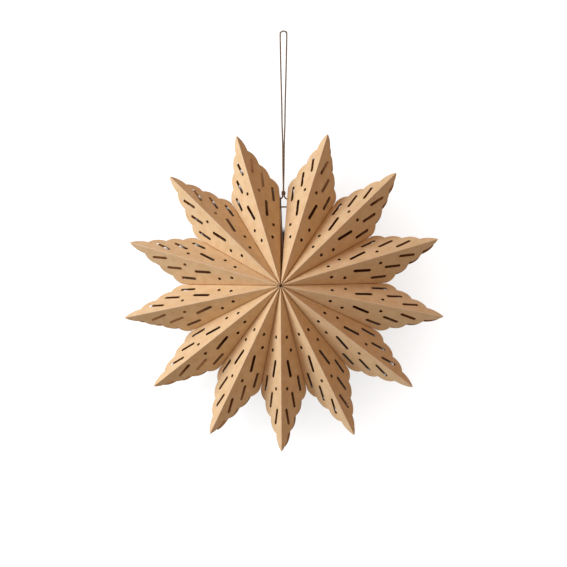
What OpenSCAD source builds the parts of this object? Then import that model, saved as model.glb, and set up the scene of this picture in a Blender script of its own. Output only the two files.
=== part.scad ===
// Paper star: a ring of die-cut kraft paper bags, glued side by side along their middle lines and opened
// into a fan. A thin cord is laced through the two free end faces and carries the star.
// Millimetres. The ring stands in the XZ plane and its front looks along -Y.
// The origin is the point inside the cord's loop that rests on a hook.

/* [Bag] */
// Length of a bag's two outer folds, from the hub to the point of the arm
fold_l = 150; // [125:1:200]
// Length of the glued middle line, from the hub to the notch between two arms
glue_l = 96; // [80:1:120]
// Width of a bag when it lies flat, which is the depth of the star at its hub
bag_w = 69; // [58:1:96]
// Thickness of the paper
paper_t = 0.3; // [0.2:0.05:0.5]

/* [Ring] */
// Angle left open between the first bag and the last
seam_gap = 4.5; // [3:0.5:10]
// Angle by which the side arms hang below an even spacing
sag = 3; // [0:0.5:4]
// Diameter of the hole that the bags leave at the hub
hub_d = 2.2; // [1.8:0.1:5]

/* [Scalloped edge] */
// Chord of the lobe that runs up to the point of the arm
point_l = 17.4; // [12:0.2:24]
// Rise of that lobe over its chord
point_rise = 1.3; // [0.6:0.1:2.4]
// Chord of one scallop, where the last one takes what is left
scallop_l = 16.6; // [10:0.2:24]
// Rise of a scallop over its chord
scallop_rise = 2.1; // [1:0.1:3]
// Depth of the nicks between the lobes, inside the straight line from point to notch
nick_in = 1; // [0.2:0.1:2]

/* [Outer slots] */
// Length of the slot under each scallop
slot_l = 15.4; // [8:0.2:20]
// Width of that slot
slot_w = 3.1; // [2:0.1:5]
// Angle of the slot to the fold
slot_angle = 13.5; // [0:0.5:30]
// Distance from a scallop's first nick to the middle of its slot, along the edge
slot_lead = 13; // [8:0.5:18]
// Distance from the edge in to the middle of the first slot
slot_inset = 9.4; // [7:0.2:14]
// How much deeper each next slot sits
slot_step_in = 1.2; // [0:0.1:2]

/* [Inner cuts] */
// Length of the single inner slot
inner_slot_l = 17; // [8:0.2:24]
// Width of the inner slot
inner_slot_w = 3.3; // [2:0.1:5]
// Angle of the inner slot to the fold
inner_slot_angle = 16.5; // [0:0.5:30]
// Middle of the inner slot: distance along the fold from the hub
inner_slot_s = 76; // [60:1:90]
// Middle of the inner slot: distance in from the fold
inner_slot_t = 11; // [8:0.5:16]
// Diameter of the round holes
dot_d = 3.3; // [2:0.1:5]
// Hole beside the outer slots: distance along the fold from the hub
outer_dot_s = 94; // [88:1:104]
// Hole beside the outer slots: distance in from the fold
outer_dot_t = 8.3; // [5:0.1:12]
// Hole below the inner slot: distance along the fold from the hub
middle_dot_s = 59; // [52:1:64]
// Hole below the inner slot: distance in from the fold
middle_dot_t = 13.4; // [8:0.1:14]
// Hole nearest the hub: distance along the fold from the hub
hub_dot_s = 47; // [40:1:50]
// Hole nearest the hub: distance in from the fold
hub_dot_t = 7.8; // [5:0.1:9]

/* [Cord] */
// Diameter of the cord
cord_d = 1.2; // [0.8:0.1:1.4]
// Diameter of the four holes that the cord is laced through
lace_hole_d = 2.6; // [2.3:0.1:3.4]
// Diameter of the knot
knot_d = 3.8; // [3.4:0.1:4.6]
// Diameter of the knot's flat ends, where the strands go in
knot_end_d = 3.2; // [3:0.1:3.4]

/* [Hidden] */
$fn = 64;

bag_count = 13;
half_w = bag_w / 2;

// The cord's own points: its right half, which is turned half round for the left half.
// The loop's heights are from the hook down. Those of the knot and the stitch are from the seam's notch down,
// and the stitch inside the bag is measured from the face that it is laced through.
// Over the knot the two strands lie against each other and turn a quarter round.
bight_r = 3.2;
pair_r = cord_d / 2 + 0.02;
loop_strand = [
    [0, -pair_r, -156], [0, -pair_r, -154], [0.38 * pair_r, -0.92 * pair_r, -146],
    [0.76 * pair_r, -0.65 * pair_r, -134], [0.97 * pair_r, -0.22 * pair_r, -122], [1.1 * pair_r, 0, -112],
    [1.05, 0, -101], [1.4, 0, -90], [1.65, 0, -73], [2.25, 0, -50], [2.8, 0, -26]
];
knot_top = -2;
knot_bottom = -7;
stitch_in_gap = [[0.8, 0, -7], [0.8, 0, -7.8], [1.3, 0, -8.8], [2.1, 0, -9.7]];
stitch_in_bag = [
    [0, 0, -10.4], [1.4, 0, -11.2], [2.7, 0, -11.9], [3.8, 0, -12.9], [4.4, 0, -14.4],
    [4.2, 0, -16.1], [3.1, 0, -17.5], [1.4, 0, -18], [-0.3, 0, -18]
];
upper_lace = -10.4;
lower_lace = -18;

// Height of the hook over the middle of the ring.
hang_drop = glue_l + knot_top - loop_strand[0].z;

// The cut line from the point of the arm to the notch.
// In the flat bag x is in from the fold and y is out from the hub.
cut_from = [0, fold_l];
cut_to = [half_w, glue_l];
cut_l = norm(cut_to - cut_from);
cut_dir = (cut_to - cut_from) / cut_l;
cut_out = [-cut_dir.y, cut_dir.x];
scallops = max(1, round((cut_l - point_l) / scallop_l));

// How far a lobe is sunk into the panel, how far the panel's own edge stays below the lobes' chords,
// and how far a sheet runs on over its folds before it is trimmed there.
lobe_lap = 2;
edge_in = 0.5;
over = 1.5;

// A trimmed sheet ends inside the thickness of the sheet that it meets, this far under its outer side.
trim_in = paper_t / 4;

function on_cut(along, out) = cut_from + along * cut_dir + out * cut_out;

function nick_along(i) = i == 0 ? 0 : i == scallops + 1 ? cut_l : point_l + (i - 1) * scallop_l;

function edge_point(i) = on_cut(nick_along(i), i == 0 || i == scallops + 1 ? 0 : -nick_in);

// Share of a bag's length that the hub hole takes away, so that no edge runs on to a single point there.
hub_share = hub_d / 4 / glue_l;

// Opening a flat bag by a half angle leans its folds back and tilts its panels, with no stretch of the paper.
flat_ratio = half_w / glue_l;

function fold_lean(half_angle) =
    atan2(flat_ratio, cos(half_angle)) - acos(1 / norm([flat_ratio, cos(half_angle)]));

function panel_tilt(half_angle) = acos(sin(half_angle) / flat_ratio);

// Where the faces between two bags stand round the ring, clockwise from the top, seen from the front.
function even_angle(j) = seam_gap / 2 + j * (360 - seam_gap) / bag_count;

function face_angle(j) = even_angle(j) + sag * sin(even_angle(j));

function bag_angle(i) = (face_angle(i - 1) + face_angle(i)) / 2;

function bag_half_angle(i) = (face_angle(i) - face_angle(i - 1)) / 2;

// One lobe of the edge: an arc over the chord from p to q, sunk a little into the panel below it.
module lobe(p, q, rise) {
    chord = norm(q - p);
    arc_r = (chord * chord / 4 + rise * rise) / (2 * rise);
    translate((p + q) / 2)
        rotate(atan2(q.y - p.y, q.x - p.x))
            intersection() {
                translate([0, rise - arc_r]) circle(arc_r);
                translate([-chord / 2 - over, -lobe_lap]) square([chord + 2 * over, rise + lobe_lap + 1]);
            }
}

module slot(length, width) {
    reach = (length - width) / 2;
    square([2 * reach, width], center = true);
    translate([reach, 0]) circle(d = width);
    translate([-reach, 0]) circle(d = width);
}

module outer_slots() {
    for (i = [1 : scallops])
        translate(on_cut(nick_along(i) + slot_lead, -slot_inset - (i - 1) * slot_step_in))
            rotate(90 - slot_angle) slot(slot_l, slot_w);
}

module inner_cuts() {
    translate([inner_slot_t, inner_slot_s]) rotate(90 - inner_slot_angle) slot(inner_slot_l, inner_slot_w);
    translate([outer_dot_t, outer_dot_s]) circle(d = dot_d);
    translate([middle_dot_t, middle_dot_s]) circle(d = dot_d);
    translate([hub_dot_t, hub_dot_s]) circle(d = dot_d);
}

// A quarter of the flat bag: from a fold to the crease beside the glue, with its die-cut edge and holes.
// It runs on over the fold and the crease.
module flat_panel() {
    start = hub_share * glue_l;
    difference() {
        union() {
            polygon([
                [hub_share * half_w + over, start],
                [-over, start],
                on_cut(-2, -edge_in),
                for (i = [1 : scallops]) edge_point(i) - edge_in * cut_out,
                on_cut(cut_l + 2, -edge_in)
            ]);
            lobe(edge_point(0), edge_point(1), point_rise);
            for (i = [1 : scallops]) lobe(edge_point(i), edge_point(i + 1), scallop_rise);
        }
        outer_slots();
        inner_cuts();
    }
}

// Where the panel stands: swung back round its fold, then leant back with the fold from the hub's front end.
// Its outer side is at y = 0 there and its inner side at y = paper_t.
module on_panel(half_angle) {
    translate([0, -half_w, 0])
        rotate([-fold_lean(half_angle), 0, 0])
            rotate([0, 0, panel_tilt(half_angle)]) children();
}

// Where the face stands that is glued to the next bag. Its outer side is at x = 0 and the bag is at x < 0.
module on_face(half_angle) {
    rotate([0, half_angle, 0]) children();
}

// A block larger than the bag, from the middle of which one side is taken off by the caller's shift.
block = 2 * (fold_l + bag_w);

module front_panel(half_angle) {
    intersection() {
        on_panel(half_angle)
            translate([0, paper_t, 0]) rotate([90, 0, 0]) linear_extrude(paper_t) flat_panel();
        on_face(half_angle) translate([-block - trim_in, -block / 2, -block / 2]) cube(block);
    }
}

function crease_y(s) = -half_w * (1 - s / glue_l);

// The front half of the glued face, from the panel's crease to the middle line, with the bottom fold.
module glued_face(half_angle) {
    start = hub_share * glue_l;
    end = glue_l - edge_in;
    intersection() {
        union() {
            on_face(half_angle)
                translate([-paper_t, 0, 0])
                    rotate([90, 0, 90])
                        linear_extrude(paper_t)
                            polygon([
                                [crease_y(start) - over, start],
                                [over, start],
                                [over, end],
                                [crease_y(end) - over, end]
                            ]);
            bottom_fold(half_angle);
        }
        on_panel(half_angle) translate([-block / 2, trim_in, -block / 2]) cube(block);
    }
}

// The closed bottom of the bag: a narrow fold round the hub hole that joins the two faces.
module bottom_fold(half_angle) {
    rim = hub_d / 2 + paper_t;
    in_wall = paper_t / 2 / cos(half_angle);
    intersection() {
        rotate([90, 0, 0]) cylinder(r = rim, h = bag_w, center = true);
        rotate([90, 0, 0])
            linear_extrude(bag_w, center = true)
                polygon([
                    [-rim, 0],
                    [-in_wall, 0],
                    [2 * rim * tan(half_angle) - in_wall, 2 * rim],
                    [-rim, 2 * rim]
                ]);
    }
}

// A quarter of an opened bag: right of the bag's middle plane and in front of the star's.
module quarter_bag(half_angle) {
    intersection() {
        union() {
            front_panel(half_angle);
            glued_face(half_angle);
        }
        translate([0, -bag_w, 0]) cube([bag_w, bag_w, fold_l + bag_w]);
    }
}

module half_bag(half_angle) {
    quarter_bag(half_angle);
    mirror([0, 1, 0]) quarter_bag(half_angle);
}

// The two holes for the cord, through a face that stands at the given angle.
module lace_holes(angle) {
    for (below_notch = [upper_lace, lower_lace])
        rotate([0, angle, 0])
            translate([0, 0, glue_l + below_notch])
                rotate([0, 90, 0]) cylinder(d = lace_hole_d, h = 4 * paper_t, center = true);
}

// Bags are counted clockwise from the seam at the top. Only the free faces at the seam are laced.
module paper_bag(i) {
    half_angle = bag_half_angle(i);
    color("burlywood")
        translate([0, 0, -hang_drop])
            rotate([0, bag_angle(i), 0])
                difference() {
                    union() {
                        half_bag(half_angle);
                        mirror([1, 0, 0]) half_bag(half_angle);
                    }
                    rotate([90, 0, 0]) cylinder(d = hub_d, h = 2 * bag_w, center = true);
                    if (i == 1) lace_holes(-half_angle);
                    if (i == bag_count) lace_holes(half_angle);
                }
}

// A round cord along points, with a ring of corners across each point.
cord_sides = 8;

function heading(path, k) = let (v = path[min(k + 1, len(path) - 1)] - path[max(k - 1, 0)]) v / norm(v);

function cord_ring(path, k) =
    let (way = heading(path, k), across = cross(way, [0, 1, 0]), u = across / norm(across), v = cross(u, way))
    [for (j = [0 : cord_sides - 1])
        let (a = 360 * j / cord_sides)
        path[k] + cord_d / 2 * (cos(a) * u + sin(a) * v)];

module cord_along(path) {
    rings = len(path);
    last = (rings - 1) * cord_sides;
    skin = [for (k = [0 : rings - 2], j = [0 : cord_sides - 1])
        let (a = k * cord_sides + j, b = k * cord_sides + (j + 1) % cord_sides)
        [a, b, b + cord_sides, a + cord_sides]];
    start_cap = [for (j = [0 : cord_sides - 1]) cord_sides - 1 - j];
    end_cap = [for (j = [0 : cord_sides - 1]) last + j];
    polyhedron([for (k = [0 : rings - 1]) each cord_ring(path, k)], concat([start_cap], skin, [end_cap]));
}

function other_half(path) = [for (k = [len(path) - 1 : -1 : 0]) [-path[k].x, -path[k].y, path[k].z]];

// The bight rests on the hook with the inside of its top.
bight_step = 22.5;
bight_z = cord_d / 2 - bight_r;
bight = [for (a = [0 : bight_step : 180]) [bight_r * cos(a), 0, bight_z + bight_r * sin(a)]];

module hanging_loop() {
    color("tan") cord_along(concat(loop_strand, bight, other_half(loop_strand)));
}

// The knot is a barrel with flat ends, which the strands meet face to face.
module cord_knot() {
    height = knot_top - knot_bottom;
    color("tan")
        translate([0, 0, glue_l - hang_drop + knot_bottom + height / 2])
            rotate_extrude()
                intersection() {
                    translate([0, -height / 2]) square([knot_d / 2, height]);
                    circle(norm([height / 2, knot_end_d / 2]));
                }
}

// The stitch goes out through the upper holes, turns inside the bags and crosses the gap by the lower holes.
lace_x = (glue_l + upper_lace) * tan(face_angle(0));
stitch_half = concat(stitch_in_gap, [for (p = stitch_in_bag) p + [lace_x, 0, 0]]);

module cord_stitch() {
    color("tan")
        translate([0, 0, glue_l - hang_drop]) cord_along(concat(stitch_half, other_half(stitch_half)));
}

paper_bag(1);  // paper_bag_01
paper_bag(2);  // paper_bag_02
paper_bag(3);  // paper_bag_03
paper_bag(4);  // paper_bag_04
paper_bag(5);  // paper_bag_05
paper_bag(6);  // paper_bag_06
paper_bag(7);  // paper_bag_07
paper_bag(8);  // paper_bag_08
paper_bag(9);  // paper_bag_09
paper_bag(10);  // paper_bag_10
paper_bag(11);  // paper_bag_11
paper_bag(12);  // paper_bag_12
paper_bag(13);  // paper_bag_13
hanging_loop();
cord_knot();
cord_stitch();
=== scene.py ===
"""Looks of the paper star: thirteen die-cut kraft paper bags opened into a ring, on a knotted twine.

Metres, in the frame of the CAD part. The ring stands in the XZ plane and its front looks along -Y.
The bags are flat die-cut sheets that a Geometry Nodes tree opens by the same rule as the part's source.
"""
import math

import bpy
import numpy as np
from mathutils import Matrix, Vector
from mathutils.geometry import delaunay_2d_cdt


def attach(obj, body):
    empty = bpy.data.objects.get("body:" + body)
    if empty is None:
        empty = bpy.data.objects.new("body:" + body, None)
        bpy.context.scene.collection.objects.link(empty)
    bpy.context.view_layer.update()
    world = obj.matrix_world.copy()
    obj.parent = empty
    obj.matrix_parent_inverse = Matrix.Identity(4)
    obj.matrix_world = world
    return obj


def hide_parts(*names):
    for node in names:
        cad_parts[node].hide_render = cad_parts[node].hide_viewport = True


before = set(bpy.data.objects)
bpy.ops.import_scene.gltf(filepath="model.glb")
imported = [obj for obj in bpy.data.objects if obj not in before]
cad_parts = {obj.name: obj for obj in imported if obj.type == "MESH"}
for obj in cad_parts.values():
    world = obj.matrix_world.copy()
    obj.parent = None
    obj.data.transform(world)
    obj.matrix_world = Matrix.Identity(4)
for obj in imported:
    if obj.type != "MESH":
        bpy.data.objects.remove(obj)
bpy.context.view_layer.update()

MM = 0.001

# Sizes of the part in millimetres, as its source has them.
FOLD_L = 150.0
GLUE_L = 96.0
HALF_W = 34.5
PAPER_T = 0.3
BAG_COUNT = 13
SEAM_GAP = 4.5
SAG = 3.0
HUB_R = 1.1
HUB_Z = -250.0
CORD_D = 1.2
CREASE_SLOPE = HALF_W / GLUE_L

# The drawn cord: loose fibres stand out from its yarns, so it is a little thicker than its solid.
DRAWN_CORD_D = 1.6
TWIST_L, TWIST_STEP, YARN_COUNT = 4.2, 0.4, 3

# The die's cuts in a panel: x is in from the fold and y is out from the hub.
CUT_L = math.hypot(HALF_W, GLUE_L - FOLD_L)
CUT_DIR = np.array([HALF_W, GLUE_L - FOLD_L]) / CUT_L
CUT_OUT = np.array([-CUT_DIR[1], CUT_DIR[0]])
NICK_IN = 1.0
NICKS = [0.0, 17.4, 34.0, 50.6, CUT_L]
# Rises of the point's lobe and of the scallops: all but the last are a little fuller than in the solids.
RISES = [2.0, 3.0, 3.0, 2.1]
DOT_D = 3.3
DOTS = [(8.3, 94.0), (13.4, 59.0), (7.8, 47.0)]
LACE_D = 2.6
LACE_AT = [GLUE_L - 18.0, GLUE_L - 10.4]


def on_cut(along, out):
    """A point by the straight line from the arm's point to the notch."""
    return np.array([0.0, FOLD_L]) + along * CUT_DIR + out * CUT_OUT


def face_angle(j):
    """Where the face between two bags stands round the ring, in degrees clockwise from the top."""
    even_angle = SEAM_GAP / 2 + j * (360 - SEAM_GAP) / BAG_COUNT
    return even_angle + SAG * math.sin(math.radians(even_angle))


# A slot is its middle, length, width and angle: one inside each scallop, and a longer one nearer the hub.
SLOT_PAST_NICK, SLOT_IN, SLOT_IN_STEP = 13.0, 9.4, 1.2
SLOT_L, SLOT_W, SLOT_ANGLE = 15.4, 3.1, 90 - 13.5
SLOTS = [
    (*on_cut(NICKS[i] + SLOT_PAST_NICK, -SLOT_IN - (i - 1) * SLOT_IN_STEP), SLOT_L, SLOT_W, SLOT_ANGLE)
    for i in (1, 2, 3)
]
INNER_SLOT = (11.0, 76.0, 17.0, 3.3, 90 - 16.5)
SLOTS.append(INNER_SLOT)


def linear(hex_colour):
    """An sRGB hex colour as the linear RGBA that shader sockets take."""
    parts = [int(hex_colour[i:i + 2], 16) / 255 for i in (1, 3, 5)]
    return tuple(c / 12.92 if c <= 0.04045 else ((c + 0.055) / 1.055) ** 2.4 for c in parts) + (1.0,)


def add(tree, kind, inputs=None, **settings):
    """Adds one node, sets its properties, and fills or links its inputs."""
    made = tree.nodes.new(kind)
    for name, value in settings.items():
        setattr(made, name, value)
    for key, value in (inputs or {}).items():
        if isinstance(value, bpy.types.NodeSocket):
            tree.links.new(value, made.inputs[key])
        else:
            made.inputs[key].default_value = value
    return made


def material(name):
    """A new node material with an empty tree and its output node."""
    made = bpy.data.materials.new(name)
    made.use_nodes = True
    made.node_tree.nodes.clear()
    return made, made.node_tree, made.node_tree.nodes.new("ShaderNodeOutputMaterial")


def seen_by_eye(tree):
    """One for a ray that shows a surface to the eye, straight on, in a shine or through glass, else zero."""
    path = add(tree, "ShaderNodeLightPath").outputs
    seen = path["Is Camera Ray"]
    for ray in ("Is Glossy Ray", "Is Transmission Ray"):
        seen = add(tree, "ShaderNodeMath", {0: seen, 1: path[ray]}, operation="MAXIMUM").outputs[0]
    return seen


def settle(obj):
    """Turns an object's evaluated modifiers into a plain mesh of its own."""
    evaluated = obj.evaluated_get(bpy.context.evaluated_depsgraph_get())
    mesh = bpy.data.meshes.new_from_object(evaluated)
    obj.modifiers.clear()
    old, obj.data = obj.data, mesh
    mesh.name = obj.name
    bpy.data.meshes.remove(old)


# Camera: a little below the star and to its right, an arm's length off.
RING = Vector((0, 0, HUB_Z * MM))
VIEW_AZIMUTH, VIEW_ELEVATION = math.radians(4.4), math.radians(-5.0)
VIEW_DISTANCE, VIEW_RISE = 0.8, 0.0048
LENS = 53.8
view_back = Vector((
    math.sin(VIEW_AZIMUTH) * math.cos(VIEW_ELEVATION),
    -math.cos(VIEW_AZIMUTH) * math.cos(VIEW_ELEVATION),
    math.sin(VIEW_ELEVATION),
))
view_turn = (-view_back).to_track_quat("-Z", "Y")
camera_data = bpy.data.cameras.new("camera")
camera_data.lens = LENS
camera = bpy.data.objects.new("camera", camera_data)
camera.rotation_mode = "QUATERNION"
camera.rotation_quaternion = view_turn
camera.location = RING + view_back * VIEW_DISTANCE + view_turn @ Vector((0, VIEW_RISE, 0))
bpy.context.collection.objects.link(camera)
bpy.context.scene.camera = camera


# Twine of natural fibre, three yarns twisted together: a dull brown with paler stray fibres on each yarn.
twine, tree, out = material("twisted_natural_twine")
place = add(tree, "ShaderNodeTexCoord")
# Fibres are about 0.03 mm thick. They are drawn ten times as coarse, or the render would not show them.
fibres = add(tree, "ShaderNodeTexNoise", {
    "Vector": place.outputs["Object"], "Scale": 1 / (0.3 * MM), "Detail": 3.0,
})
# The yarn's colour drifts over about 6 mm.
drift = add(tree, "ShaderNodeTexNoise", {
    "Vector": place.outputs["Object"], "Scale": 1 / (6 * MM), "Detail": 2.0,
})
tone = add(tree, "ShaderNodeMath", {0: fibres.outputs["Fac"], 1: drift.outputs["Fac"], 2: 0.12},
           operation="MULTIPLY_ADD")
colour = add(tree, "ShaderNodeValToRGB", {"Fac": tone.outputs[0]})
colour.color_ramp.elements[0].position = 0.22
colour.color_ramp.elements[0].color = linear("#7F6647")
colour.color_ramp.elements[1].position = 0.62
colour.color_ramp.elements[1].color = linear("#B29876")
relief = add(tree, "ShaderNodeBump", {
    "Height": fibres.outputs["Fac"], "Strength": 0.5, "Distance": 0.1 * MM,
})
skin = add(tree, "ShaderNodeBsdfPrincipled", {
    "Base Color": colour.outputs["Color"], "Normal": relief.outputs["Normal"], "Roughness": 0.85,
    "Specular IOR Level": 0.25, "Sheen Weight": 0.1, "Sheen Roughness": 0.5,
})
tree.links.new(skin.outputs[0], out.inputs["Surface"])


# The cord's tree: yarns set round the cord's line are swept along it, and the line's tilt twists them.
cord_tree = bpy.data.node_groups.new("twisted_cord", "GeometryNodeTree")
cord_tree.interface.new_socket("Geometry", in_out="INPUT", socket_type="NodeSocketGeometry")
cord_inputs = {
    name: cord_tree.interface.new_socket(name, in_out="INPUT", socket_type=kind).identifier
    for name, kind in (
        ("Cord diameter", "NodeSocketFloat"), ("Twist length", "NodeSocketFloat"),
        ("Yarns", "NodeSocketInt"), ("Step", "NodeSocketFloat"), ("Twine", "NodeSocketMaterial"),
    )
}
cord_tree.interface.new_socket("Geometry", in_out="OUTPUT", socket_type="NodeSocketGeometry")
given = add(cord_tree, "NodeGroupInput").outputs
fine = add(cord_tree, "GeometryNodeResampleCurve", {"Curve": given["Geometry"], "Length": given["Step"]},
           mode="LENGTH")
along = add(cord_tree, "GeometryNodeSplineParameter")
turns = add(cord_tree, "ShaderNodeMath", {0: along.outputs["Length"], 1: given["Twist length"]},
            operation="DIVIDE")
tilt = add(cord_tree, "ShaderNodeMath", {0: turns.outputs[0], 1: 2 * math.pi}, operation="MULTIPLY")
twisted = add(cord_tree, "GeometryNodeSetCurveTilt", {
    "Curve": fine.outputs["Curve"], "Tilt": tilt.outputs[0],
})
# Shares of the cord's diameter: three round yarns that just press into each other fill it.
YARN_OUT, YARN_R = 0.268, 0.236
yarn_out = add(cord_tree, "ShaderNodeMath", {0: given["Cord diameter"], 1: YARN_OUT}, operation="MULTIPLY")
yarn_r = add(cord_tree, "ShaderNodeMath", {0: given["Cord diameter"], 1: YARN_R}, operation="MULTIPLY")
places = add(cord_tree, "GeometryNodeMeshCircle", {
    "Vertices": given["Yarns"], "Radius": yarn_out.outputs[0],
})
round_yarn = add(cord_tree, "GeometryNodeCurvePrimitiveCircle", {
    "Resolution": 8, "Radius": yarn_r.outputs[0],
})
yarns = add(cord_tree, "GeometryNodeInstanceOnPoints", {
    "Points": places.outputs["Mesh"], "Instance": round_yarn.outputs["Curve"],
})
profile = add(cord_tree, "GeometryNodeRealizeInstances", {"Geometry": yarns.outputs["Instances"]})
swept = add(cord_tree, "GeometryNodeCurveToMesh", {
    "Curve": twisted.outputs["Curve"], "Profile Curve": profile.outputs["Geometry"], "Fill Caps": True,
})
smooth = add(cord_tree, "GeometryNodeSetShadeSmooth", {"Geometry": swept.outputs["Mesh"]})
whole = add(cord_tree, "GeometryNodeRealizeInstances", {"Geometry": smooth.outputs["Geometry"]})
dressed = add(cord_tree, "GeometryNodeSetMaterial", {
    "Geometry": whole.outputs["Geometry"], "Material": given["Twine"],
})
add(cord_tree, "NodeGroupOutput", {"Geometry": dressed.outputs["Geometry"]})


def smooth_route(points, step):
    """A Catmull-Rom line through the points, in metres, with a point about every step."""
    p = np.array(points, dtype=float)
    p = np.vstack([2 * p[0] - p[1], p, 2 * p[-1] - p[-2]])
    line = []
    for a, b, c, d in zip(p, p[1:], p[2:], p[3:]):
        n = max(2, int(np.linalg.norm(c - b) / step))
        for t in np.linspace(0, 1, n, endpoint=False):
            line.append(0.5 * (2 * b + (c - a) * t + (2 * a - 5 * b + 4 * c - d) * t ** 2
                               + (3 * b - a - 3 * c + d) * t ** 3))
    line.append(p[-2])
    return np.array(line)


def twisted_cord(name, route):
    """A twisted cord along a route in metres, as a plain mesh."""
    curve = bpy.data.curves.new(name + "_line", "CURVE")
    curve.dimensions = "3D"
    spline = curve.splines.new("POLY")
    spline.points.add(len(route) - 1)
    for point, at in zip(spline.points, route):
        point.co = (*at, 1.0)
    line = bpy.data.objects.new(name + "_line", curve)
    bpy.context.collection.objects.link(line)
    modifier = line.modifiers.new("twist", "NODES")
    modifier.node_group = cord_tree
    for key, value in (
        ("Cord diameter", DRAWN_CORD_D * MM), ("Twist length", TWIST_L * MM), ("Yarns", YARN_COUNT),
        ("Step", TWIST_STEP * MM), ("Twine", twine),
    ):
        modifier[cord_inputs[key]] = value
    mesh = bpy.data.meshes.new_from_object(line.evaluated_get(bpy.context.evaluated_depsgraph_get()))
    mesh.name = name
    bpy.data.objects.remove(line)
    bpy.data.curves.remove(curve)
    cord = bpy.data.objects.new(name, mesh)
    bpy.context.collection.objects.link(cord)
    return cord


# The cord's route in millimetres, from the knot through the paper, back to the knot and round the loop.
STRAND_GAP = 0.04
PAIR_R = (CORD_D + STRAND_GAP) / 2
NOTCH_Z = HUB_Z + GLUE_L
LACE_X = LACE_AT[1] * math.tan(math.radians(face_angle(0)))
LOOP_R = 3.2
strand = [
    (0, -PAIR_R, -156), (0, -PAIR_R, -154), (0.38 * PAIR_R, -0.92 * PAIR_R, -146),
    (0.76 * PAIR_R, -0.65 * PAIR_R, -134), (0.97 * PAIR_R, -0.22 * PAIR_R, -122), (1.1 * PAIR_R, 0, -112),
    (1.05, 0, -101), (1.4, 0, -90), (1.65, 0, -73), (2.25, 0, -50), (2.8, 0, -26),
]
bight = [
    (LOOP_R * math.cos(math.radians(a)), 0, CORD_D / 2 - LOOP_R + LOOP_R * math.sin(math.radians(a)))
    for a in range(0, 181, 30)
]
stitch = [(x, 0, NOTCH_Z + z) for x, z in ((0.8, -7), (0.8, -7.8), (1.3, -8.8), (2.1, -9.7))]
stitch += [
    (LACE_X + x, 0, NOTCH_Z + z)
    for x, z in (
        (0, -10.4), (1.4, -11.2), (2.7, -11.9), (3.8, -12.9), (4.4, -14.4), (4.2, -16.1), (3.1, -17.5),
        (1.4, -18), (-0.3, -18),
    )
]
stitch += [(-x, y, z) for x, y, z in reversed(stitch)]
left_strand = [(-x, -y, z) for x, y, z in strand]
route = [(0.55, -0.3, -159)] + stitch + [(-0.5, 0.35, -158.5)] + left_strand
route += bight[::-1] + strand[::-1] + [(0.3, -0.5, -158)]
ROUTE_STEP = 0.8
cord_line = smooth_route(np.array(route) * MM, ROUTE_STEP * MM)
hanging_cord = twisted_cord("hanging_cord", cord_line)

# The knot: three turns of the same cord round both strands, with its ends tucked in between them. The
# strands lie one behind the other at its top and side by side at its foot, and its turns follow them.
KNOT_TURNS, KNOT_TOP_Z, KNOT_H = 3.25, -156.7, 3.7
KNOT_CORE, KNOT_NARROW, KNOT_WIDE = 0.25, 0.95, 1.3
KNOT_POINTS, KNOT_ROUNDING = 73, 0.35
down_knot = np.linspace(0, 1, KNOT_POINTS)
swell = np.sin(np.pi * down_knot) ** KNOT_ROUNDING
angle = 2 * math.pi * KNOT_TURNS * down_knot
widening = (KNOT_WIDE - KNOT_NARROW) * down_knot
knot_line = np.stack([
    (KNOT_CORE + (KNOT_NARROW + widening) * swell) * np.cos(angle),
    (KNOT_CORE + (KNOT_WIDE - widening) * swell) * np.sin(angle),
    KNOT_TOP_Z - KNOT_H * down_knot,
], axis=1)
cord_knot = twisted_cord("cord_knot_turns", knot_line * MM)

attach(hanging_cord, "root")
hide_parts("hanging_loop", "cord_stitch")
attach(cord_knot, "root")
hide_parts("cord_knot")


# Kraft paper, machine-made from long brown fibres and left uncoated: matt, cloudy where the fibres lie
# thicker, with fine streaks along the web and a few dark specks. The fold is painted a little paler, for
# rubbed fibres and as a painted highlight where light catches the fold.
kraft, tree, out = material("uncoated_kraft_paper")
flat = add(tree, "ShaderNodeUVMap", uv_map="flat_sheet")
# Clouds of fibre are about 9 mm across.
clouds = add(tree, "ShaderNodeTexNoise", {
    "Vector": flat.outputs["UV"], "Scale": 1 / (9 * MM), "Detail": 4.0,
})
# Fibres are about 2 mm by 0.03 mm. To show in the render, their streaks are drawn 6 mm by 0.5 mm.
web = add(tree, "ShaderNodeMapping", {
    "Vector": flat.outputs["UV"], "Scale": (1 / (0.5 * MM), 1 / (6 * MM), 1.0),
})
streaks = add(tree, "ShaderNodeTexNoise", {"Vector": web.outputs["Vector"], "Scale": 1.0, "Detail": 3.0})
# Specks of bark are about 0.5 mm across, with one every few millimetres.
specks = add(tree, "ShaderNodeTexVoronoi", {"Vector": flat.outputs["UV"], "Scale": 1 / (4.5 * MM)})
speck = add(tree, "ShaderNodeMapRange", {
    "Value": specks.outputs["Distance"], "From Min": 0.04, "From Max": 0.1, "To Min": 0.16, "To Max": 0.0,
})
mottle = add(tree, "ShaderNodeMath", {0: clouds.outputs["Fac"], 1: 0.55}, operation="MULTIPLY")
grain = add(tree, "ShaderNodeMath", {0: streaks.outputs["Fac"], 1: 0.45, 2: mottle.outputs[0]},
            operation="MULTIPLY_ADD")
tone = add(tree, "ShaderNodeMath", {0: grain.outputs[0], 1: speck.outputs[0]}, operation="SUBTRACT")
colour = add(tree, "ShaderNodeValToRGB", {"Fac": tone.outputs[0]})
colour.color_ramp.elements[0].position = 0.3
colour.color_ramp.elements[0].color = linear("#DCB781")
colour.color_ramp.elements[1].position = 0.7
colour.color_ramp.elements[1].color = linear("#F0D4A8")
# Painted highlight and rubbed fibres: the paper is painted paler within about 0.9 mm of the fold.
across = add(tree, "ShaderNodeSeparateXYZ", {"Vector": flat.outputs["UV"]})
from_fold = add(tree, "ShaderNodeMath", {0: across.outputs["X"]}, operation="ABSOLUTE")
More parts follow.
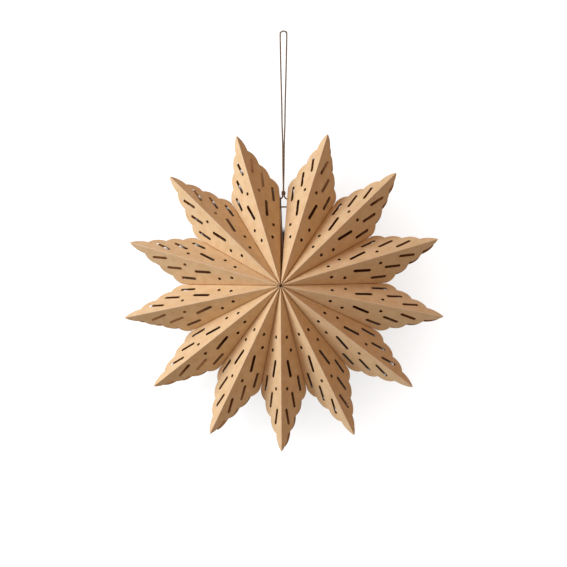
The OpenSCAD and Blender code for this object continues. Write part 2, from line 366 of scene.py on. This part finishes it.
fold_wear_and_highlight = add(tree, "ShaderNodeMapRange", {
    "Value": from_fold.outputs[0], "From Min": 0.25 * MM, "From Max": 0.9 * MM,
    "To Min": 0.55, "To Max": 0.0,
})
worn_and_highlit = add(tree, "ShaderNodeMix", {
    "Factor": fold_wear_and_highlight.outputs[0], "A": colour.outputs["Color"], "B": linear("#F6DFC0"),
}, data_type="RGBA")
relief = add(tree, "ShaderNodeBump", {"Height": grain.outputs[0], "Strength": 0.22, "Distance": 0.15 * MM})
dull = add(tree, "ShaderNodeMapRange", {"Value": grain.outputs[0], "To Min": 0.62, "To Max": 0.82})
skin = add(tree, "ShaderNodeBsdfPrincipled", {
    "Base Color": worn_and_highlit.outputs["Result"], "Normal": relief.outputs["Normal"], "Roughness": dull.outputs[0],
    "Specular IOR Level": 0.3, "Sheen Weight": 0.08, "Sheen Roughness": 0.6,
})
tree.links.new(skin.outputs[0], out.inputs["Surface"])

# The inside of a bag, as it shows through the slots: the same sheet painted dark brown, with coarser
# streaks. The dark brown is painted shade for the dim inside of the bag.
inside_painted_shade, tree, out = material("kraft_paper_inside_painted_shade")
flat = add(tree, "ShaderNodeUVMap", uv_map="flat_sheet")
# The streaks are drawn 8 mm by 0.8 mm, or the render would not show them.
web = add(tree, "ShaderNodeMapping", {
    "Vector": flat.outputs["UV"], "Scale": (1 / (0.8 * MM), 1 / (8 * MM), 1.0),
})
streaks = add(tree, "ShaderNodeTexNoise", {"Vector": web.outputs["Vector"], "Scale": 1.0, "Detail": 3.0})
colour = add(tree, "ShaderNodeValToRGB", {"Fac": streaks.outputs["Fac"]})
colour.color_ramp.elements[0].position = 0.3
colour.color_ramp.elements[0].color = linear("#7E532E")
colour.color_ramp.elements[1].position = 0.7
colour.color_ramp.elements[1].color = linear("#9C6D43")
skin = add(tree, "ShaderNodeBsdfPrincipled", {
    "Base Color": colour.outputs["Color"], "Roughness": 0.9, "Specular IOR Level": 0.2,
})
tree.links.new(skin.outputs[0], out.inputs["Surface"])

# The die's cut through the same sheet: fibre ends, rougher and a little darker than its face.
cut_edge, tree, out = material("kraft_paper_cut_edge")
place = add(tree, "ShaderNodeTexCoord")
# Fibre ends are drawn 0.4 mm across, or the render would not show them.
ends = add(tree, "ShaderNodeTexNoise", {
    "Vector": place.outputs["Object"], "Scale": 1 / (0.4 * MM), "Detail": 2.0,
})
colour = add(tree, "ShaderNodeValToRGB", {"Fac": ends.outputs["Fac"]})
colour.color_ramp.elements[0].position = 0.3
colour.color_ramp.elements[0].color = linear("#B8946A")
colour.color_ramp.elements[1].position = 0.7
colour.color_ramp.elements[1].color = linear("#D9B98E")
skin = add(tree, "ShaderNodeBsdfPrincipled", {
    "Base Color": colour.outputs["Color"], "Roughness": 0.9, "Specular IOR Level": 0.2,
})
tree.links.new(skin.outputs[0], out.inputs["Surface"])


# The points of a sheet's mesh: how many a round stretch has, and how many millimetres lie between the rest.
# Lines of points run beside the fold and the creases, closer together where the paper bends.
SCALLOP_PARTS, SLOT_END_POINTS, LACE_POINTS, DOT_POINTS = 9, 10, 11, 16
MESH_STEP, GRID_STEP, GRID_START = 4.0, 3.6, 6.0
BOTTOM_START, BOTTOM_REST = (0.0, 0.18, CREASE_SLOPE * HUB_R), 3.0
FOLD_LINES = (0.0, 0.2, 0.5, 1.0, 2.0)
CREASE_LINES = (0.0, -0.5, -1.2, -2.4, 0.5, 1.2, 2.4)
PANEL_ROOM, FACE_ROOM = 0.4, 0.6
GRID_TO_LINE, GRID_TO_EDGE, GRID_TO_HOLE, LINE_TO_EDGE, EDGE_TO_LACE = 1.7, 1.3, 1.2, 0.25, 0.6


def arc(p, q, rise, n):
    """Points of an arc over the chord from p to q, without q."""
    p, q = np.array(p, dtype=float), np.array(q, dtype=float)
    chord = np.linalg.norm(q - p)
    radius = (chord ** 2 / 4 + rise ** 2) / (2 * rise)
    way = (q - p) / chord
    up = np.array([-way[1], way[0]])
    half = math.asin(chord / 2 / radius)
    middle = (p + q) / 2 + (rise - radius) * up
    angles = np.linspace(-half, half, n + 1)[:-1]
    return [middle + radius * (math.sin(a) * way + math.cos(a) * up) for a in angles]


def slot_ring(x, y, length, width, angle):
    """The outline of a slot with round ends."""
    way = np.array([math.cos(math.radians(angle)), math.sin(math.radians(angle))])
    side = np.array([-way[1], way[0]])
    middle, reach, r = np.array([x, y]), (length - width) / 2, width / 2
    ring = []
    for end, start in ((1, -90), (-1, 90)):
        for a in np.radians(np.linspace(start, start + 180, SLOT_END_POINTS)):
            ring.append(middle + end * reach * way + r * (math.cos(a) * way + math.sin(a) * side))
        for t in (0.25, 0.5, 0.75):
            ring.append(middle + end * (1 - 2 * t) * reach * way + end * r * side)
    return ring


def inside(points, ring):
    """Which points lie inside a closed ring."""
    x, y = points[:, 0], points[:, 1]
    ring = np.asarray(ring)
    hit = np.zeros(len(points), dtype=bool)
    for (x0, y0), (x1, y1) in zip(ring, np.roll(ring, -1, axis=0)):
        if y0 != y1:
            hit ^= ((y0 > y) != (y1 > y)) & (x < (x1 - x0) * (y - y0) / (y1 - y0) + x0)
    return hit


def clear_of(points, ring, gap):
    """Which points are further than gap from every stretch of a closed ring."""
    ring = np.asarray(ring)
    far = np.full(len(points), np.inf)
    for a, b in zip(ring, np.roll(ring, -1, axis=0)):
        way = b - a
        t = np.clip(((points - a) @ way) / max(way @ way, 1e-12), 0, 1)
        far = np.minimum(far, np.linalg.norm(points - a - t[:, None] * way, axis=1))
    return far > gap


def flat_bag_sheet(laced):
    """Points and triangles of the front half of a flat bag in millimetres: both panels, half of each face.

    A laced sheet has half of the cord's two holes in its right edge, which lies on the bag's middle line.
    """
    last = len(NICKS) - 1
    nick = [on_cut(a, 0 if i in (0, last) else -NICK_IN) for i, a in enumerate(NICKS)]
    cut = [p for i in range(last) for p in arc(nick[i], nick[i + 1], RISES[i], SCALLOP_PARTS)] + [nick[last]]
    bottom = [*BOTTOM_START, *np.arange(BOTTOM_REST, HALF_W - 1, MESH_STEP)]
    side = {}
    for sign in (1, -1):
        edge = [(HALF_W, h) for h in np.arange(MESH_STEP, GLUE_L - 2, MESH_STEP)]
        if laced and sign == 1:
            edge = [p for p in edge if all(abs(p[1] - at) > LACE_D / 2 + EDGE_TO_LACE for at in LACE_AT)]
            for at in LACE_AT:
                for a in np.radians(np.linspace(-90, 90, LACE_POINTS)):
                    edge.append((HALF_W - LACE_D / 2 * math.cos(a), at + LACE_D / 2 * math.sin(a)))
            edge.sort(key=lambda p: p[1])
        side[sign] = [(sign * x, y) for x, y in edge]
    outline = [(x, HUB_R) for x in bottom] + [(HALF_W, HUB_R)] + side[1] + [tuple(p) for p in cut[::-1]]
    outline += [(-x, y) for x, y in cut[1:]] + side[-1][::-1] + [(-HALF_W, HUB_R)]
    outline += [(-x, HUB_R) for x in bottom[:0:-1]]

    holes = []
    for sign in (1, -1):
        for slot in SLOTS:
            holes.append([(sign * x, y) for x, y in slot_ring(*slot)])
        for x, y in DOTS:
            ring = np.radians(np.arange(0, 360, 360 / DOT_POINTS))
            holes.append([(sign * x + DOT_D / 2 * math.cos(a), y + DOT_D / 2 * math.sin(a)) for a in ring])

    # Lines beside the fold and the creases.
    rows = []
    steps = np.arange(MESH_STEP, FOLD_L, MESH_STEP)
    for off in FOLD_LINES:
        line = [(off, h) for h in steps if off <= PANEL_ROOM * CREASE_SLOPE * h]
        rows += [line] if off == 0 else [line, [(-x, y) for x, y in line]]
    lean = math.hypot(1, CREASE_SLOPE)
    for off in CREASE_LINES:
        line = []
        for h in steps[steps < GLUE_L - 1]:
            room = PANEL_ROOM * CREASE_SLOPE * h if off < 0 else FACE_ROOM * HALF_W * (1 - h / GLUE_L)
            if abs(off) * lean <= room:
                line.append((CREASE_SLOPE * h + off * lean, h))
        rows += [line, [(-x, y) for x, y in line]]

    # A loose grid fills what is left.
    taken = np.array([p for row in rows for p in row])
    grid = []
    for j, h in enumerate(np.arange(GRID_START, FOLD_L, GRID_STEP)):
        for x in np.arange(GRID_STEP / 2 * (1 + j % 2), HALF_W, GRID_STEP):
            if np.min(np.linalg.norm(taken - (x, h), axis=1)) > GRID_TO_LINE:
                grid += [(x, h), (-x, h)]
    grid = np.array(grid)
    keep = inside(grid, outline) & clear_of(grid, outline, GRID_TO_EDGE)
    for ring in holes:
        keep &= ~inside(grid, ring) & clear_of(grid, ring, GRID_TO_HOLE)

    points, links = [], []
    for ring in [outline] + holes:
        first = len(points)
        points += [tuple(p) for p in ring]
        links += [(first + i, first + (i + 1) % len(ring)) for i in range(len(ring))]
    for row in rows:
        row = np.array(row)
        good = inside(row, outline) & clear_of(row, outline, LINE_TO_EDGE)
        before = None
        for p, ok in zip(row, good):
            if ok:
                points.append(tuple(p))
                if before is not None:
                    links.append((before, len(points) - 1))
            before = len(points) - 1 if ok else None
    points += [tuple(p) for p in grid[keep]]
    made = delaunay_2d_cdt([Vector(p) for p in points], links, [], 1, 1e-4, False)
    verts, faces = np.array([tuple(v) for v in made[0]]), made[2]
    middles = np.array([verts[f].mean(axis=0) for f in faces])
    solid = inside(middles, outline)
    for ring in holes:
        solid &= ~inside(middles, ring)
    faces = [f for f, ok in zip(faces, solid) if ok]
    used = sorted({v for f in faces for v in f})
    number = {v: i for i, v in enumerate(used)}
    return verts[used], [[number[v] for v in f] for f in faces]


# The bag's tree opens a flat sheet by the bag's half angle. The sheet's own X is across from the fold and
# its Y is out from the hub. The folds lean back, the panels tilt and the faces stand up, with no stretch.
bag_tree = bpy.data.node_groups.new("opened_paper_bag", "GeometryNodeTree")
bag_tree.interface.new_socket("Geometry", in_out="INPUT", socket_type="NodeSocketGeometry")
bag_inputs = {
    name: bag_tree.interface.new_socket(name, in_out="INPUT", socket_type=kind).identifier
    for name, kind in (
        ("Half angle", "NodeSocketFloat"), ("Ring angle", "NodeSocketFloat"),
        ("Hub height", "NodeSocketFloat"), ("Half width", "NodeSocketFloat"),
        ("Glue length", "NodeSocketFloat"), ("Fold softness", "NodeSocketFloat"),
        ("Crease softness", "NodeSocketFloat"), ("Swell", "NodeSocketFloat"),
        ("Seed", "NodeSocketFloat"), ("Paper", "NodeSocketMaterial"),
    )
}
bag_tree.interface.new_socket("Geometry", in_out="OUTPUT", socket_type="NodeSocketGeometry")
given = add(bag_tree, "NodeGroupInput").outputs
here = add(bag_tree, "GeometryNodeInputPosition")
spot = add(bag_tree, "ShaderNodeSeparateXYZ", {"Vector": here.outputs[0]})
value = {name: given[name] for name in bag_inputs}
value.update(u=spot.outputs["X"], s=spot.outputs["Y"])
# A step is a name, an operation and its operands.
for name, operation, *operands in (
    # How the opening leans the folds and tilts the panels.
    ("ratio", "DIVIDE", "Half width", "Glue length"),
    ("ratio_sq", "MULTIPLY", "ratio", "ratio"),
    ("sin_open", "SINE", "Half angle"),
    ("cos_open", "COSINE", "Half angle"),
    ("cos_tilt", "DIVIDE", "sin_open", "ratio"),
    ("tilt", "ARCCOSINE", "cos_tilt"),
    ("sin_tilt", "SINE", "tilt"),
    ("reach_sq", "MULTIPLY_ADD", "cos_open", "cos_open", "ratio_sq"),
    ("reach", "SQRT", "reach_sq"),
    ("reach_inverse", "DIVIDE", 1.0, "reach"),
    ("reach_turn", "ARCCOSINE", "reach_inverse"),
    ("slant", "ARCTAN2", "ratio", "cos_open"),
    ("lean", "SUBTRACT", "slant", "reach_turn"),
    ("sin_lean", "SINE", "lean"),
    ("cos_lean", "COSINE", "lean"),
    # Distance from the fold, rounded off at the fold.
    ("u_sq", "MULTIPLY", "u", "u"),
    ("across_sq", "MULTIPLY_ADD", "Fold softness", "Fold softness", "u_sq"),
    ("across", "SQRT", "across_sq"),
    ("side", "DIVIDE", "u", "across"),
    # Distance past the crease, rounded off at the crease.
    ("crease_sq", "ADD", "ratio_sq", 1.0),
    ("crease", "SQRT", "crease_sq"),
    ("crease_at", "MULTIPLY", "s", "ratio"),
    ("over_crease", "SUBTRACT", "across", "crease_at"),
    ("past", "DIVIDE", "over_crease", "crease"),
    ("past_sq", "MULTIPLY", "past", "past"),
    ("soft_sq", "MULTIPLY_ADD", "Crease softness", "Crease softness", "past_sq"),
    ("soft", "SQRT", "soft_sq"),
    ("past_sum", "ADD", "past", "soft"),
    ("past_half", "MULTIPLY", "past_sum", 0.5),
    ("bend", "MULTIPLY", "past_half", "crease"),
    # The opened place.
    ("bend_side", "MULTIPLY", "bend", "side"),
    ("u_left", "SUBTRACT", "u", "bend_side"),
    ("x", "MULTIPLY", "u_left", "cos_tilt"),
    ("across_left", "SUBTRACT", "across", "bend"),
    ("back_share", "MULTIPLY", "sin_tilt", "cos_lean"),
    ("back", "MULTIPLY_ADD", "back_share", "across_left", "bend"),
    ("back_lean", "MULTIPLY_ADD", "s", "sin_lean", "back"),
    ("y", "SUBTRACT", "back_lean", "Half width"),
    ("drop_share", "MULTIPLY", "sin_tilt", "sin_lean"),
    ("drop", "MULTIPLY", "drop_share", "across_left"),
    ("rise", "MULTIPLY", "s", "cos_lean"),
    ("z", "SUBTRACT", "rise", "drop"),
    # Distance inside the panel from the nearer of its fold and its crease.
    ("in_panel", "MULTIPLY", "past", -1.0),
    ("from_bends", "MINIMUM", "across", "in_panel"),
):
    inputs = {i: value.get(x, x) for i, x in enumerate(operands)}
    value[name] = add(bag_tree, "ShaderNodeMath", inputs, operation=operation).outputs[0]
opened = add(bag_tree, "ShaderNodeCombineXYZ", {"X": value["x"], "Y": value["y"], "Z": value["z"]})
# Paper never lies quite flat: each panel swells a little between its bends, in waves about 45 mm long that
# fade out over the last 7 mm before a bend.
waves = add(bag_tree, "ShaderNodeTexNoise", {
    "Vector": here.outputs[0], "W": value["Seed"], "Scale": 1 / (45 * MM), "Detail": 1.0,
}, noise_dimensions="4D")
free = add(bag_tree, "ShaderNodeMapRange", {"Value": value["from_bends"], "From Max": 7 * MM},
           interpolation_type="SMOOTHSTEP")
even_wave = add(bag_tree, "ShaderNodeMath", {0: waves.outputs[0], 1: 0.5}, operation="SUBTRACT")
swollen = add(bag_tree, "ShaderNodeMath", {0: even_wave.outputs[0], 1: given["Swell"]}, operation="MULTIPLY")
lift = add(bag_tree, "ShaderNodeMath", {0: swollen.outputs[0], 1: free.outputs["Result"]},
           operation="MULTIPLY")
kept_lift = add(bag_tree, "GeometryNodeStoreNamedAttribute", {
    "Geometry": given["Geometry"], "Name": "lift", "Value": lift.outputs[0],
}, data_type="FLOAT", domain="POINT")
folded = add(bag_tree, "GeometryNodeSetPosition", {
    "Geometry": kept_lift.outputs["Geometry"], "Position": opened.outputs["Vector"],
})
lift_here = add(bag_tree, "GeometryNodeInputNamedAttribute", {"Name": "lift"}, data_type="FLOAT")
facing = add(bag_tree, "GeometryNodeInputNormal")
lift_way = add(bag_tree, "ShaderNodeVectorMath", {
    0: facing.outputs[0], "Scale": lift_here.outputs["Attribute"],
}, operation="SCALE")
waved = add(bag_tree, "GeometryNodeSetPosition", {
    "Geometry": folded.outputs["Geometry"], "Offset": lift_way.outputs["Vector"],
})
front = add(bag_tree, "GeometryNodeRemoveAttribute", {
    "Geometry": waved.outputs["Geometry"], "Name": "lift",
})
# The back half is the front half mirrored, joined to it along the middle line of the faces.
JOIN_GAP = 0.06
mirrored = add(bag_tree, "GeometryNodeTransform", {
    "Geometry": front.outputs["Geometry"], "Scale": (1.0, -1.0, 1.0),
})
back = add(bag_tree, "GeometryNodeFlipFaces", {"Mesh": mirrored.outputs["Geometry"]})
halves = add(bag_tree, "GeometryNodeJoinGeometry", {"Geometry": front.outputs["Geometry"]})
bag_tree.links.new(back.outputs["Mesh"], halves.inputs["Geometry"])
joined = add(bag_tree, "GeometryNodeMergeByDistance", {
    "Geometry": halves.outputs["Geometry"], "Distance": JOIN_GAP * MM,
})
# The bag is turned to its place in the ring and lifted to the hub.
turned = add(bag_tree, "ShaderNodeVectorRotate", {"Vector": here.outputs[0], "Angle": given["Ring angle"]},
             rotation_type="Y_AXIS")
lifted = add(bag_tree, "ShaderNodeCombineXYZ", {"Z": given["Hub height"]})
set_up = add(bag_tree, "GeometryNodeSetPosition", {
    "Geometry": joined.outputs["Geometry"], "Position": turned.outputs["Vector"],
    "Offset": lifted.outputs["Vector"],
})
soft_shade = add(bag_tree, "GeometryNodeSetShadeSmooth", {"Geometry": set_up.outputs["Geometry"]})
whole = add(bag_tree, "GeometryNodeRealizeInstances", {"Geometry": soft_shade.outputs["Geometry"]})
dressed = add(bag_tree, "GeometryNodeSetMaterial", {
    "Geometry": whole.outputs["Geometry"], "Material": given["Paper"],
})
add(bag_tree, "NodeGroupOutput", {"Geometry": dressed.outputs["Geometry"]})


def sheet_mesh(name, verts, faces):
    """A flat sheet in metres, with its flat coordinates as a UV map and the strip that closes its bottom."""
    low = [i for i in np.argsort(verts[:, 0]) if abs(verts[i, 1] - HUB_R) < 1e-3]
    right = [i for i in low if verts[i, 0] > -1e-4]
    left = [i for i in low if verts[i, 0] < 1e-4][::-1]
    strip = [[right[0], left[1], right[1]]]
    strip += [[r0, l0, l1, r1] for r0, r1, l0, l1 in zip(right[1:], right[2:], left[1:], left[2:])]
    mesh = bpy.data.meshes.new(name)
    mesh.from_pydata([(x * MM, y * MM, 0) for x, y in verts], [], faces + strip)
    flat_map = mesh.uv_layers.new(name="flat_sheet")
    for loop in mesh.loops:
        flat_map.data[loop.index].uv = verts[loop.vertex_index] * MM
    return mesh


plain_verts, plain_faces = flat_bag_sheet(False)
laced_verts, laced_faces = flat_bag_sheet(True)
turned_verts = laced_verts * (-1, 1)
turned_faces = [f[::-1] for f in laced_faces]
end_sheets = {1: (turned_verts, turned_faces), BAG_COUNT: (laced_verts, laced_faces)}
FOLD_SOFT, CREASE_SOFT, PANEL_SWELL = 0.4, 0.8, 1.6
FIRST_SEED, SEED_STEP = 3.0, 1.7
SHARP_ANGLE = math.radians(45)
for number in range(1, BAG_COUNT + 1):
    name = f"opened_bag_{number:02d}"
    sheet = end_sheets.get(number, (plain_verts, plain_faces))
    bag = bpy.data.objects.new(name, sheet_mesh(name, *sheet))
    bpy.context.collection.objects.link(bag)
    before, after = face_angle(number - 1), face_angle(number)
    modifier = bag.modifiers.new("open", "NODES")
    modifier.node_group = bag_tree
    for key, setting in (
        ("Half angle", math.radians(after - before) / 2), ("Ring angle", math.radians(before + after) / 2),
        ("Hub height", HUB_Z * MM), ("Half width", HALF_W * MM), ("Glue length", GLUE_L * MM),
        ("Fold softness", FOLD_SOFT * MM), ("Crease softness", CREASE_SOFT * MM),
        ("Swell", PANEL_SWELL * MM), ("Seed", FIRST_SEED + SEED_STEP * number), ("Paper", kraft),
    ):
        modifier[bag_inputs[key]] = setting
    settle(bag)
    # The rims take the cut edge, and the inner faces take the inside's dark painted shade.
    bag.data.materials.append(cut_edge)
    bag.data.materials.append(inside_painted_shade)
    thick = bag.modifiers.new("paper", "SOLIDIFY")
    thick.thickness = PAPER_T * MM
    thick.offset = -1
    thick.material_offset_rim = 1
    thick.material_offset = 2
    settle(bag)
    bag.data.set_sharp_from_angle(angle=SHARP_ANGLE)
    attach(bag, "root")
    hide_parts(f"paper_bag_{number:02d}")


# Stage: a white wall close behind the star, which runs into a pale floor in a wide curve.
WALL_Y, FLOOR_Z, COVE_R, COVE_POINTS = 0.037, -1.70, 0.3, 13
STAGE_REACH, WALL_TOP = 4.0, 3.0
run = [(-STAGE_REACH, FLOOR_Z)]
run += [
    (WALL_Y - COVE_R + COVE_R * math.sin(a), FLOOR_Z + COVE_R - COVE_R * math.cos(a))
    for a in np.linspace(0, math.pi / 2, COVE_POINTS)
]
run += [(WALL_Y, WALL_TOP)]
sweep_mesh = bpy.data.meshes.new("studio_sweep")
sweep_mesh.from_pydata(
    [(x, y, z) for y, z in run for x in (-STAGE_REACH, STAGE_REACH)], [],
    [(2 * i, 2 * i + 1, 2 * i + 3, 2 * i + 2) for i in range(len(run) - 1)],
)
sweep_mesh.polygons.foreach_set("use_smooth", [True] * len(sweep_mesh.polygons))
sweep = bpy.data.objects.new("studio_sweep", sweep_mesh)
bpy.context.collection.objects.link(sweep)

# Matt white paint. The camera also sees it in a soft light of its own from the upper left, so that the wall
# is white and keeps the star's shadow. It gives the star's back a dim light, and its own back is clear, so
# that the star shows from behind.
SOFT_LIGHT_FROM = (-0.45, -0.82, 0.35)
SHADOW_REACH, SHADOW_FULL, SHADOW_LIGHT = 70 * MM, 0.2, 0.72
BACK_LIGHT = 0.24
paint, tree, out = material("matt_white_wall_paint")
wall = add(tree, "ShaderNodeNewGeometry")
light_way = add(tree, "ShaderNodeCombineXYZ", dict(enumerate(SOFT_LIGHT_FROM)))
open_to = add(tree, "ShaderNodeAmbientOcclusion", {
    "Distance": SHADOW_REACH, "Normal": light_way.outputs[0],
}, samples=16)
faint = add(tree, "ShaderNodeMapRange", {
    "Value": open_to.outputs["AO"], "From Min": SHADOW_FULL, "To Min": SHADOW_LIGHT,
})
# A painted shadow darkens the wall behind the star, both its glow and its paint, so that its slots look
# dark.
# A place on the wall is followed along the line of sight to the arms' back panels, where each arm's outline
# is taken as a straight line from its tip to its notch. The painted shadow is drawn for a view from the
# front and fades out for a slanting one. The upper part of the seam stays bright.
BACK_GAP = 19 * MM
SHADE_FROM, SHADE_FULL = 1.5 * MM, 5 * MM
SLANT_NONE, SLANT_FULL = 0.8, 0.92
SEAM_DARK_R, SEAM_BRIGHT_R = 56 * MM, 62 * MM
LIGHT_LOST = 0.98
FOLD_LEAN_COS = 0.996
ARM_STEP = math.radians(360 - SEAM_GAP) / BAG_COUNT
TIP_R = FOLD_LEAN_COS * FOLD_L * MM
NOTCH_X = GLUE_L * MM * math.sin(ARM_STEP / 2)
OUTLINE_SLOPE = (TIP_R - GLUE_L * MM * math.cos(ARM_STEP / 2)) / NOTCH_X
facing = add(tree, "ShaderNodeVectorMath", {0: wall.outputs["Incoming"], 1: wall.outputs["Normal"]},
             operation="DOT_PRODUCT")
step_back = add(tree, "ShaderNodeMath", {0: BACK_GAP, 1: facing.outputs["Value"]}, operation="DIVIDE")
sight = add(tree, "ShaderNodeVectorMath", {0: wall.outputs["Incoming"], "Scale": step_back.outputs[0]},
            operation="SCALE")
at_panels = add(tree, "ShaderNodeVectorMath", {0: wall.outputs["Position"], 1: sight.outputs["Vector"]},
                operation="ADD")
spot = add(tree, "ShaderNodeSeparateXYZ", {"Vector": at_panels.outputs["Vector"]})
shade = {"x": spot.outputs["X"], "z": spot.outputs["Z"]}
for name, operation, *operands in (
    # The place's angle off the middle line of its arm, by the rule that sets the bags round the ring.
    ("up", "SUBTRACT", "z", HUB_Z * MM),
    ("turn", "ARCTAN2", "x", "up"),
    ("from_top", "ABSOLUTE", "turn"),
    ("sine", "SINE", "from_top"),
    ("even", "MULTIPLY_ADD", "sine", -math.radians(SAG), "from_top"),
    ("from_seam", "SUBTRACT", "even", math.radians(SEAM_GAP) / 2),
    ("arms", "DIVIDE", "from_seam", ARM_STEP),
    ("share", "FRACT", "arms"),
    ("from_middle", "SUBTRACT", "share", 0.5),
    ("part_off", "ABSOLUTE", "from_middle"),
    ("off", "MULTIPLY", "part_off", ARM_STEP),
    ("sin_off", "SINE", "off"),
    ("cos_off", "COSINE", "off"),
    # How far it is inside the arm's outline.
    ("x_sq", "MULTIPLY", "x", "x"),
    ("r_sq", "MULTIPLY_ADD", "up", "up", "x_sq"),
    ("r", "SQRT", "r_sq"),
    ("across", "MULTIPLY", "r", "sin_off"),
    ("out", "MULTIPLY", "r", "cos_off"),
    ("to_line", "MULTIPLY_ADD", "across", OUTLINE_SLOPE, "out"),
    ("past_line", "SUBTRACT", TIP_R, "to_line"),
    ("within", "DIVIDE", "past_line", math.hypot(1, OUTLINE_SLOPE)),
    ("in_seam", "LESS_THAN", "from_seam", 0.0),
):
    inputs = {i: shade.get(x, x) for i, x in enumerate(operands)}
    shade[name] = add(tree, "ShaderNodeMath", inputs, operation=operation).outputs[0]
seam_top = add(tree, "ShaderNodeMapRange", {
    "Value": shade["r"], "From Min": SEAM_DARK_R, "From Max": SEAM_BRIGHT_R,
})
deep = add(tree, "ShaderNodeMapRange", {
    "Value": shade["within"], "From Min": SHADE_FROM, "From Max": SHADE_FULL,
}, interpolation_type="SMOOTHSTEP")
in_front = add(tree, "ShaderNodeMapRange", {
    "Value": facing.outputs["Value"], "From Min": SLANT_NONE, "From Max": SLANT_FULL,
})
shade.update(
    deep=deep.outputs[0], in_front=in_front.outputs[0], seam_top=seam_top.outputs[0], faint=faint.outputs[0],
)
for name, operation, *operands in (
    ("both", "MULTIPLY", "deep", "in_front"),
    ("bright_seam", "MULTIPLY", "in_seam", "seam_top"),
    ("closed", "SUBTRACT", 1.0, "bright_seam"),
    ("dark", "MULTIPLY", "both", "closed"),
    ("left", "MULTIPLY_ADD", "dark", -LIGHT_LOST, 1.0),
    ("light", "MULTIPLY", "left", "faint"),
):
    inputs = {i: shade.get(x, x) for i, x in enumerate(operands)}
    shade[name] = add(tree, "ShaderNodeMath", inputs, operation=operation).outputs[0]
# Under the painted shadow the paint itself turns dark brown.
shaded_paint = add(tree, "ShaderNodeMix", {
    "Factor": shade["dark"], "A": linear("#8C8E92"), "B": linear("#3A2416"),
}, data_type="RGBA")
matt = add(tree, "ShaderNodeBsdfDiffuse", {"Color": shaded_paint.outputs["Result"]})
strength = add(tree, "ShaderNodeMix", {"Factor": seen_by_eye(tree), "A": BACK_LIGHT, "B": shade["light"]})
glow = add(tree, "ShaderNodeEmission", {"Color": linear("#FFFFFF"), "Strength": strength.outputs["Result"]})
lit = add(tree, "ShaderNodeAddShader", {0: matt.outputs[0], 1: glow.outputs[0]})
clear = add(tree, "ShaderNodeBsdfTransparent")
one_sided = add(tree, "ShaderNodeMixShader", {
    0: wall.outputs["Backfacing"], 1: lit.outputs[0], 2: clear.outputs[0],
})
tree.links.new(one_sided.outputs[0], out.inputs["Surface"])
sweep_mesh.materials.append(paint)

# Light: one cool soft box close by on the left, and a warm even light from all round.
BOX_W, BOX_H, BOX_WATTS = 0.45, 0.6, 8.5
BOX_AT = (-0.79, -0.445, 0.04)
ROOM_LIGHT = 0.37
key_data = bpy.data.lights.new("soft_box", "AREA")
key_data.shape = "RECTANGLE"
key_data.size, key_data.size_y = BOX_W, BOX_H
key_data.energy = BOX_WATTS
key_data.color = linear("#EEF4FF")[:3]
key = bpy.data.objects.new("soft_box", key_data)
key.location = BOX_AT
key.rotation_euler = (RING - key.location).to_track_quat("-Z", "Y").to_euler()
bpy.context.collection.objects.link(key)

world = bpy.data.worlds.new("studio")
world.use_nodes = True
world.node_tree.nodes.clear()
tree = world.node_tree
room = add(tree, "ShaderNodeBackground", {"Color": linear("#FFC6A0"), "Strength": ROOM_LIGHT})
plain = add(tree, "ShaderNodeBackground", {"Color": linear("#FFFFFF"), "Strength": 1.0})
backdrop = add(tree, "ShaderNodeMixShader", {0: seen_by_eye(tree), 1: room.outputs[0], 2: plain.outputs[0]})
add(tree, "ShaderNodeOutputWorld", {"Surface": backdrop.outputs[0]})
bpy.context.scene.world = world

bpy.context.scene.view_settings.view_transform = "Standard"
